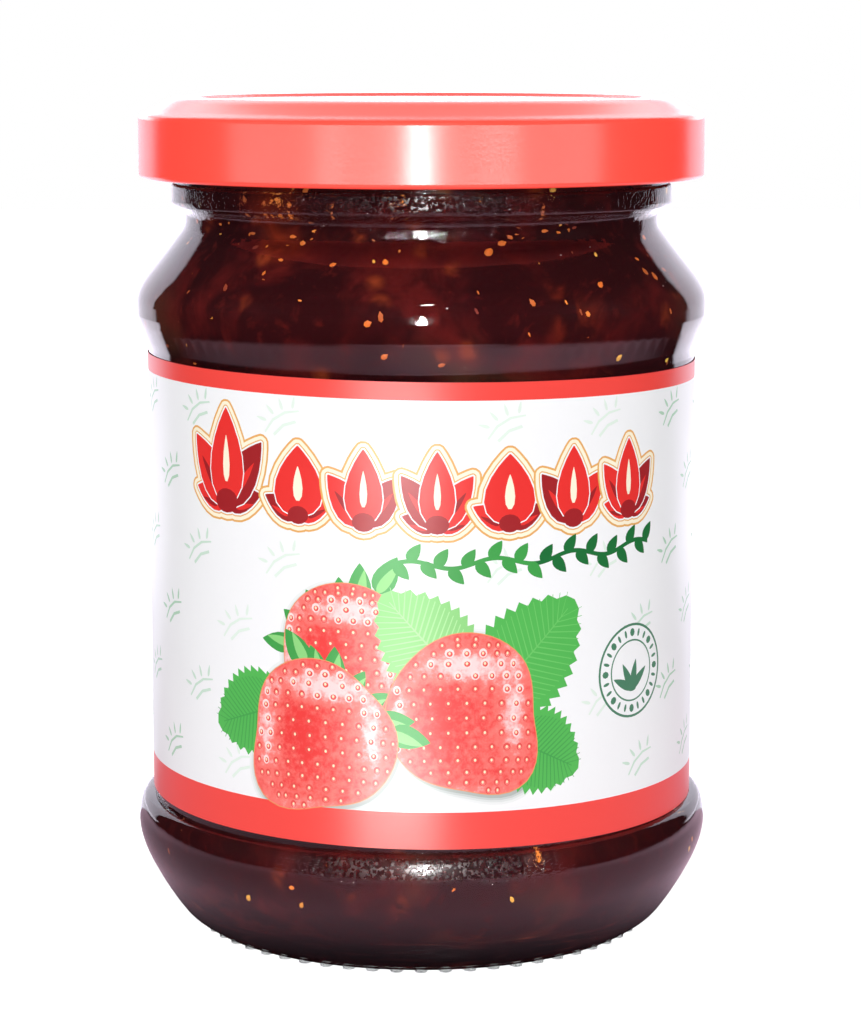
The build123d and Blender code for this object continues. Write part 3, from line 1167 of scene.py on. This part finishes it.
def make_world():
    """White to the eye, a bright wall in a dark room when mirrored, and an even fill for matt surfaces."""
    world = bpy.data.worlds.new("studio")
    bpy.context.scene.world = world
    world.use_nodes = True
    g = Graph(world.node_tree)
    g.nodes.clear()
    where = g.add("ShaderNodeTexCoord").outputs["Generated"]
    back = g.add("ShaderNodeSeparateXYZ", Vector=where).outputs["Y"]
    path = g.add("ShaderNodeLightPath")
    wall = g.span(back, WALL_START, WALL_FULL, 0.02, WALL_LEVEL)
    seen = seen_plainly(g, path)
    glossy = g.product(path.outputs["Is Glossy Ray"], g.math("SUBTRACT", 1.0, seen))
    fill = g.math("MULTIPLY", g.math("SUBTRACT", 1.0, g.math("MAXIMUM", seen, glossy)), 0.3)
    level = g.math("ADD", g.math("ADD", seen, fill), g.product(glossy, wall))
    sky = g.add("ShaderNodeBackground")
    g.put(sky, "Color", g.blend(glossy, (1, 1, 1, 1), WALL_GLOSS))
    g.put(sky, "Strength", level)
    out = g.add("ShaderNodeOutputWorld")
    g.put(out, "Surface", sky.outputs[0])


def area_lamp(name, place, aim, size, radiance, shape="RECTANGLE"):
    """A lamp facing its aim; size is (wide, tall) in metres."""
    data = bpy.data.lights.new(name, "AREA")
    data.shape = shape
    data.size, data.size_y = size
    data.energy = radiance * math.pi * size[0] * size[1]
    lamp = bpy.data.objects.new(name, data)
    bpy.context.scene.collection.objects.link(lamp)
    lamp.location = place
    way = Vector(aim) - Vector(place)
    lamp.rotation_euler = way.to_track_quat("-Z", "Y").to_euler()
    lamp.visible_camera = False
    return lamp


def light_only(piece, lamp):
    """Keeps a lamp to one piece."""
    group = bpy.data.collections.new(lamp.name + "_pieces")
    group.objects.link(piece)
    lamp.light_linking.receiver_collection = group


# what the lamps face
JAR_MIDDLE = (0, 0, 0.055)
LID_SKIRT = (0, 0, 0.09)
LID_TOP = (0, 0, 0.1)
# name, place, size, radiance
FILLS = (
    ("front_fill", (-0.1, -1.3, 0.95), (1.2, 1.2), 2.3),
    ("left_fill", (-1.1, -0.35, 0.5), (0.8, 0.8), 1.6),
    ("back_fill", (0.3, 1.3, 0.8), (1.0, 1.0), 1.3),
    ("right_fill", (1.1, -0.35, 0.5), (0.8, 0.8), 1.6),
)
GLASS_LAMPS = (
    ("window", (0.012, -0.75, 0.25), (0.055, 0.4), 170.0),
    ("high_window", (0.03, -0.5, 0.74), (0.05, 0.03), 60.0),
    ("ceiling_spot", (0.11, -0.5, 0.62), (0.014, 0.014), 60.0),
)
LID_LAMPS = (
    ("lid_window", (-0.004, -0.75, 0.052), (0.1, 0.09), 64.0),
    ("lid_glare", (-0.02, -0.8, 0.052), (0.45, 0.09), 6.5),
    ("lid_glare", (-0.02, -0.8, 0.052), (0.85, 0.09), 6.5),
    ("lid_glare", (-0.02, -0.8, 0.052), (1.3, 0.09), 6.5),
    ("lid_left", (-0.74, -0.52, 0.052), (0.84, 0.09), 4.0),
    ("lid_right", (0.67, -0.6, 0.052), (0.9, 0.09), 4.3),
)
# height of the lamp's middle, its own height, radiance
SHEENS = ((0.006, 0.012, 24.0), (0.03, 0.02, 5.0), (0.056, 0.014, 16.0))


def make_lights(label, lid, glass):
    """Fills that are never mirrored, and for each shiny piece the lamps that it mirrors."""
    for name, place, size, radiance in FILLS:
        area_lamp(name, place, JAR_MIDDLE, size, radiance).visible_glossy = False
    for name, place, size, radiance in GLASS_LAMPS:
        light_only(glass, area_lamp(name, place, JAR_MIDDLE, size, radiance, shape="ELLIPSE"))
    # these stay below the lid's top, so only its skirt mirrors them
    for name, place, size, radiance in LID_LAMPS:
        light_only(lid, area_lamp(name, place, LID_SKIRT, size, radiance))
    light_only(lid, area_lamp("lid_ceiling", (0.0, 0.6, 0.95), LID_TOP, (1.6, 1.2), 1.4))
    light_only(lid, area_lamp("lid_back", (0.0, 1.0, 0.25), LID_TOP, (1.8, 0.25), 2.5))
    light_only(label, area_lamp("label_fill", (-0.03, -0.8, 0.2), JAR_MIDDLE, (0.6, 0.6), 2.4))
    # a sheen up the middle of the printed paper, mirrored only
    for z, tall, radiance in SHEENS:
        sheen = area_lamp("label_sheen", (-0.017, -0.1, z), (-0.017, 0, z), (0.05, tall), radiance)
        sheen.visible_diffuse = False
        light_only(label, sheen)


CAMERA_PLACE = (1.12 * MM, -368.7 * MM, 109.2 * MM)
CAMERA_DIP = 8.977


def make_camera():
    """A long lens a little above the lid, looking slightly down."""
    data = bpy.data.cameras.new("camera")
    data.sensor_width = 36.0
    data.lens = 104.4
    data.clip_start = 0.01
    camera = bpy.data.objects.new("camera", data)
    bpy.context.scene.collection.objects.link(camera)
    camera.location = CAMERA_PLACE
    camera.rotation_euler = (math.radians(90 - CAMERA_DIP), 0, 0)
    bpy.context.scene.camera = camera


dress("glass_jar", glass_material())
dress("lid", lid_material())
make_jam()
make_seeds()
make_bubbles()
printed_label = make_label()
make_floor()
make_world()
make_lights(printed_label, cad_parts["lid"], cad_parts["glass_jar"])
make_camera()
bpy.context.scene.view_settings.view_transform = "Standard"
